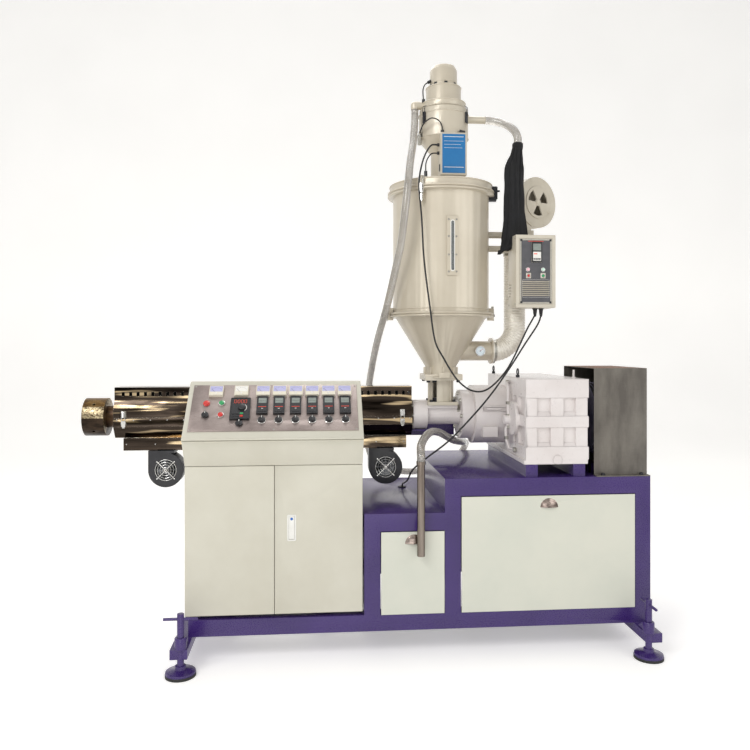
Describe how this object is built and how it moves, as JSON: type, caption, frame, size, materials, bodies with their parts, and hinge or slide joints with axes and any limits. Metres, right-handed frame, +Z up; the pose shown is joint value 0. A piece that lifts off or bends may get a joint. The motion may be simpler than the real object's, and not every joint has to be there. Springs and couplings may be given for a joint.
{
  "type": "plastic profile extruder",
  "caption": "Single screw plastic extruder with covered barrel, control cabinet, gearbox, hopper dryer and vacuum loader on a welded frame.",
  "frame": {"origin": "on the floor, midway between the head nut and the right end of the frame, under the screw axis", "axes": "+X along the screw from the head nut to the drive, +Y away from the operator, +Z up"},
  "size_m": [2.5595, 1.202, 2.7046],
  "materials": {
    "purple_paint": "gloss paint",
    "beige_paint": "satin paint",
    "panel_paint": "satin paint",
    "console_metal": "brushed plate",
    "instrument_plastic": "matte",
    "white_paint": "satin paint",
    "barrel_steel": "machined steel",
    "band_aluminium": "cast aluminium",
    "cover_steel": "mirror polished stainless sheet",
    "fan_paint": "black paint",
    "fan_plastic": "matte",
    "nut_steel": "dark machined steel",
    "hopper_steel": "satin stainless sheet",
    "cast_paint": "light paint",
    "duct_film": "ribbed pale duct",
    "dryer_paint": "satin paint",
    "hose_plastic": "clear grey hose",
    "cloth": "black woven cloth",
    "cable_rubber": "matte",
    "guard_paint": "smooth paint",
    "motor_paint": "satin paint",
    "belt_rubber": "matte",
    "screw_steel": "polished steel",
    "pulley_iron": "machined",
    "handle_plastic": "gloss",
    "start_plastic": "gloss green",
    "stop_plastic": "gloss red"
  },
  "bodies": {
    "base": {"base_frame": "purple_paint", "cabinet_shell": "beige_paint", "console_plate": "console_metal", "panel_instruments": "instrument_plastic", "feed_section": "white_paint", "barrel_tube": "barrel_steel", "heater_bands": "band_aluminium", "lower_cover": "cover_steel", "fan_housings": "fan_paint", "head_nut": "nut_steel", "gearbox_housing": "white_paint", "thrust_housing": "white_paint", "hopper_throat": "cast_paint", "hopper_cone": "hopper_steel", "hopper_cylinder": "hopper_steel", "hopper_lid": "hopper_steel", "hopper_fittings": "hopper_steel", "air_duct": "duct_film", "air_heater": "cast_paint", "dryer_box": "dryer_paint", "loader_body": "hopper_steel", "exhaust_hose": "hose_plastic", "filter_bag": "cloth", "suction_hose": "hose_plastic", "suction_wand": "hopper_steel", "loader_cables": "cable_rubber", "supply_cable": "cable_rubber", "belt_guard": "guard_paint", "motor": "motor_paint", "drive_belts": "belt_rubber"},
    "screw": {"screw": "screw_steel"},
    "gearbox_pulley": {"gearbox_pulley": "pulley_iron"},
    "motor_pulley": {"motor_pulley": "pulley_iron"},
    "cabinet_door_left": {"cabinet_door_left": "beige_paint"},
    "cabinet_door_right": {"cabinet_door_right": "beige_paint"},
    "door_handle": {"door_handle": "handle_plastic"},
    "access_panel_large": {"access_panel_large": "panel_paint"},
    "access_panel_small": {"access_panel_small": "panel_paint"},
    "upper_cover": {"upper_cover": "cover_steel"},
    "slide_gate": {"slide_gate": "hopper_steel"},
    "fan_wheel_1": {"fan_wheel_1": "fan_plastic"},
    "fan_wheel_2": {"fan_wheel_2": "fan_plastic"},
    "fan_wheel_3": {"fan_wheel_3": "fan_plastic"},
    "foot_1": {"foot_1": "purple_paint"},
    "foot_2": {"foot_2": "purple_paint"},
    "foot_3": {"foot_3": "purple_paint"},
    "foot_4": {"foot_4": "purple_paint"},
    "zone_switch_1": {"zone_switch_1": "instrument_plastic"},
    "zone_switch_2": {"zone_switch_2": "instrument_plastic"},
    "zone_switch_3": {"zone_switch_3": "instrument_plastic"},
    "zone_switch_4": {"zone_switch_4": "instrument_plastic"},
    "zone_switch_5": {"zone_switch_5": "instrument_plastic"},
    "zone_switch_6": {"zone_switch_6": "instrument_plastic"},
    "start_button": {"start_button": "start_plastic"},
    "stop_button": {"stop_button": "stop_plastic"},
    "speed_knob": {"speed_knob": "instrument_plastic"},
    "mode_switch": {"mode_switch": "instrument_plastic"},
    "dryer_start_button": {"dryer_start_button": "start_plastic"},
    "dryer_stop_button": {"dryer_stop_button": "stop_plastic"},
    "air_shutter": {"air_shutter": "cast_paint"}
  },
  "joints": [
    {"name": "gearbox_pulley_turn", "type": "hinge", "parent": "base", "child": "gearbox_pulley", "pos_m": [1.1, -0.2, 1], "axis": [1, 0, 0], "continuous": true},
    {"name": "screw_turn", "type": "hinge", "parent": "base", "child": "screw", "pos_m": [0, 0, 1], "axis": [1, 0, 0], "continuous": true},
    {"name": "motor_pulley_turn", "type": "hinge", "parent": "base", "child": "motor_pulley", "pos_m": [1.1, -0.2, 0.39], "axis": [1, 0, 0], "continuous": true},
    {"name": "door_left_hinge", "type": "hinge", "parent": "base", "child": "cabinet_door_left", "pos_m": [-0.753, -0.42, 0.51], "axis": [0, 0, -1], "range_deg": [0, 55]},
    {"name": "door_right_hinge", "type": "hinge", "parent": "base", "child": "cabinet_door_right", "pos_m": [-0.002, -0.42, 0.51], "axis": [0, 0, 1], "range_deg": [0, 110]},
    {"name": "door_handle_lift", "type": "hinge", "parent": "cabinet_door_right", "child": "door_handle", "pos_m": [-0.305, -0.41765, 0.51565], "axis": [1, 0, 0], "range_deg": [0, 35], "stiffness_Nm_per_rad": 0.05, "springref_deg": -11.46},
    {"name": "access_panel_large_lift", "type": "slide", "parent": "base", "child": "access_panel_large", "axis": [0, 0, 1], "range_m": [0, 0.025]},
    {"name": "access_panel_small_lift", "type": "slide", "parent": "base", "child": "access_panel_small", "axis": [0, 0, 1], "range_m": [0, 0.025]},
    {"name": "upper_cover_hinge", "type": "hinge", "parent": "base", "child": "upper_cover", "pos_m": [-0.439, 0.092, 1.002], "axis": [-1, 0, 0], "range_deg": [0, 90]},
    {"name": "slide_gate_pull", "type": "slide", "parent": "base", "child": "slide_gate", "axis": [0, -1, 0], "range_m": [0, 0.106]},
    {"name": "fan_wheel_1_turn", "type": "hinge", "parent": "base", "child": "fan_wheel_1", "pos_m": [-0.897, -0.05, 0.758], "axis": [0, 1, 0], "continuous": true},
    {"name": "fan_wheel_2_turn", "type": "hinge", "parent": "base", "child": "fan_wheel_2", "pos_m": [-0.431, -0.05, 0.758], "axis": [0, 1, 0], "continuous": true},
    {"name": "fan_wheel_3_turn", "type": "hinge", "parent": "base", "child": "fan_wheel_3", "pos_m": [0.13, -0.05, 0.758], "axis": [0, 1, 0], "continuous": true},
    {"name": "foot_1_screw", "type": "slide", "parent": "base", "child": "foot_1", "axis": [0, 0, -1], "range_m": [0, 0.04]},
    {"name": "foot_2_screw", "type": "slide", "parent": "base", "child": "foot_2", "axis": [0, 0, -1], "range_m": [0, 0.04]},
    {"name": "foot_3_screw", "type": "slide", "parent": "base", "child": "foot_3", "axis": [0, 0, -1], "range_m": [0, 0.04]},
    {"name": "foot_4_screw", "type": "slide", "parent": "base", "child": "foot_4", "axis": [0, 0, -1], "range_m": [0, 0.04]},
    {"name": "zone_switch_1_turn", "type": "hinge", "parent": "base", "child": "zone_switch_1", "pos_m": [-0.431, -0.4346, 1.02159], "axis": [0, -0.6961, 0.7179], "range_deg": [0, 90]},
    {"name": "zone_switch_2_turn", "type": "hinge", "parent": "base", "child": "zone_switch_2", "pos_m": [-0.36, -0.4346, 1.02159], "axis": [0, -0.6961, 0.7179], "range_deg": [0, 90]},
    {"name": "zone_switch_3_turn", "type": "hinge", "parent": "base", "child": "zone_switch_3", "pos_m": [-0.289, -0.4346, 1.02159], "axis": [0, -0.6961, 0.7179], "range_deg": [0, 90]},
    {"name": "zone_switch_4_turn", "type": "hinge", "parent": "base", "child": "zone_switch_4", "pos_m": [-0.218, -0.4346, 1.02159], "axis": [0, -0.6961, 0.7179], "range_deg": [0, 90]},
    {"name": "zone_switch_5_turn", "type": "hinge", "parent": "base", "child": "zone_switch_5", "pos_m": [-0.147, -0.4346, 1.02159], "axis": [0, -0.6961, 0.7179], "range_deg": [0, 90]},
    {"name": "zone_switch_6_turn", "type": "hinge", "parent": "base", "child": "zone_switch_6", "pos_m": [-0.076, -0.4346, 1.02159], "axis": [0, -0.6961, 0.7179], "range_deg": [0, 90]},
    {"name": "speed_knob_turn", "type": "hinge", "parent": "base", "child": "speed_knob", "pos_m": [-0.524, -0.44824, 1.00836], "axis": [0, -0.6961, 0.7179], "range_deg": [0, 270]},
    {"name": "mode_switch_turn", "type": "hinge", "parent": "base", "child": "mode_switch", "pos_m": [-0.669, -0.4145, 1.04108], "axis": [0, -0.6961, 0.7179], "range_deg": [-45, 45]},
    {"name": "start_button_press", "type": "slide", "parent": "base", "child": "start_button", "axis": [0, 0.6961, -0.7179], "range_m": [0, 0.004], "stiffness_N_per_m": 800, "springref_m": -0.002},
    {"name": "stop_button_press", "type": "slide", "parent": "base", "child": "stop_button", "axis": [0, 0.6961, -0.7179], "range_m": [0, 0.004], "stiffness_N_per_m": 800, "springref_m": -0.002},
    {"name": "dryer_start_button_press", "type": "slide", "parent": "base", "child": "dryer_start_button", "axis": [0, 1, 0], "range_m": [0, 0.003], "stiffness_N_per_m": 400, "springref_m": -0.001},
    {"name": "dryer_stop_button_press", "type": "slide", "parent": "base", "child": "dryer_stop_button", "axis": [0, 1, 0], "range_m": [0, 0.003], "stiffness_N_per_m": 400, "springref_m": -0.001},
    {"name": "air_shutter_turn", "type": "hinge", "parent": "base", "child": "air_shutter", "pos_m": [0.879, 0.04, 2.05], "axis": [-0.4695, 0.8829, 0], "range_deg": [0, 60]}
  ],
  "couplings": [
    {"joint": "screw_turn", "follows": "gearbox_pulley_turn", "ratio": 0.08},
    {"joint": "motor_pulley_turn", "follows": "gearbox_pulley_turn", "ratio": 2}
  ]
}
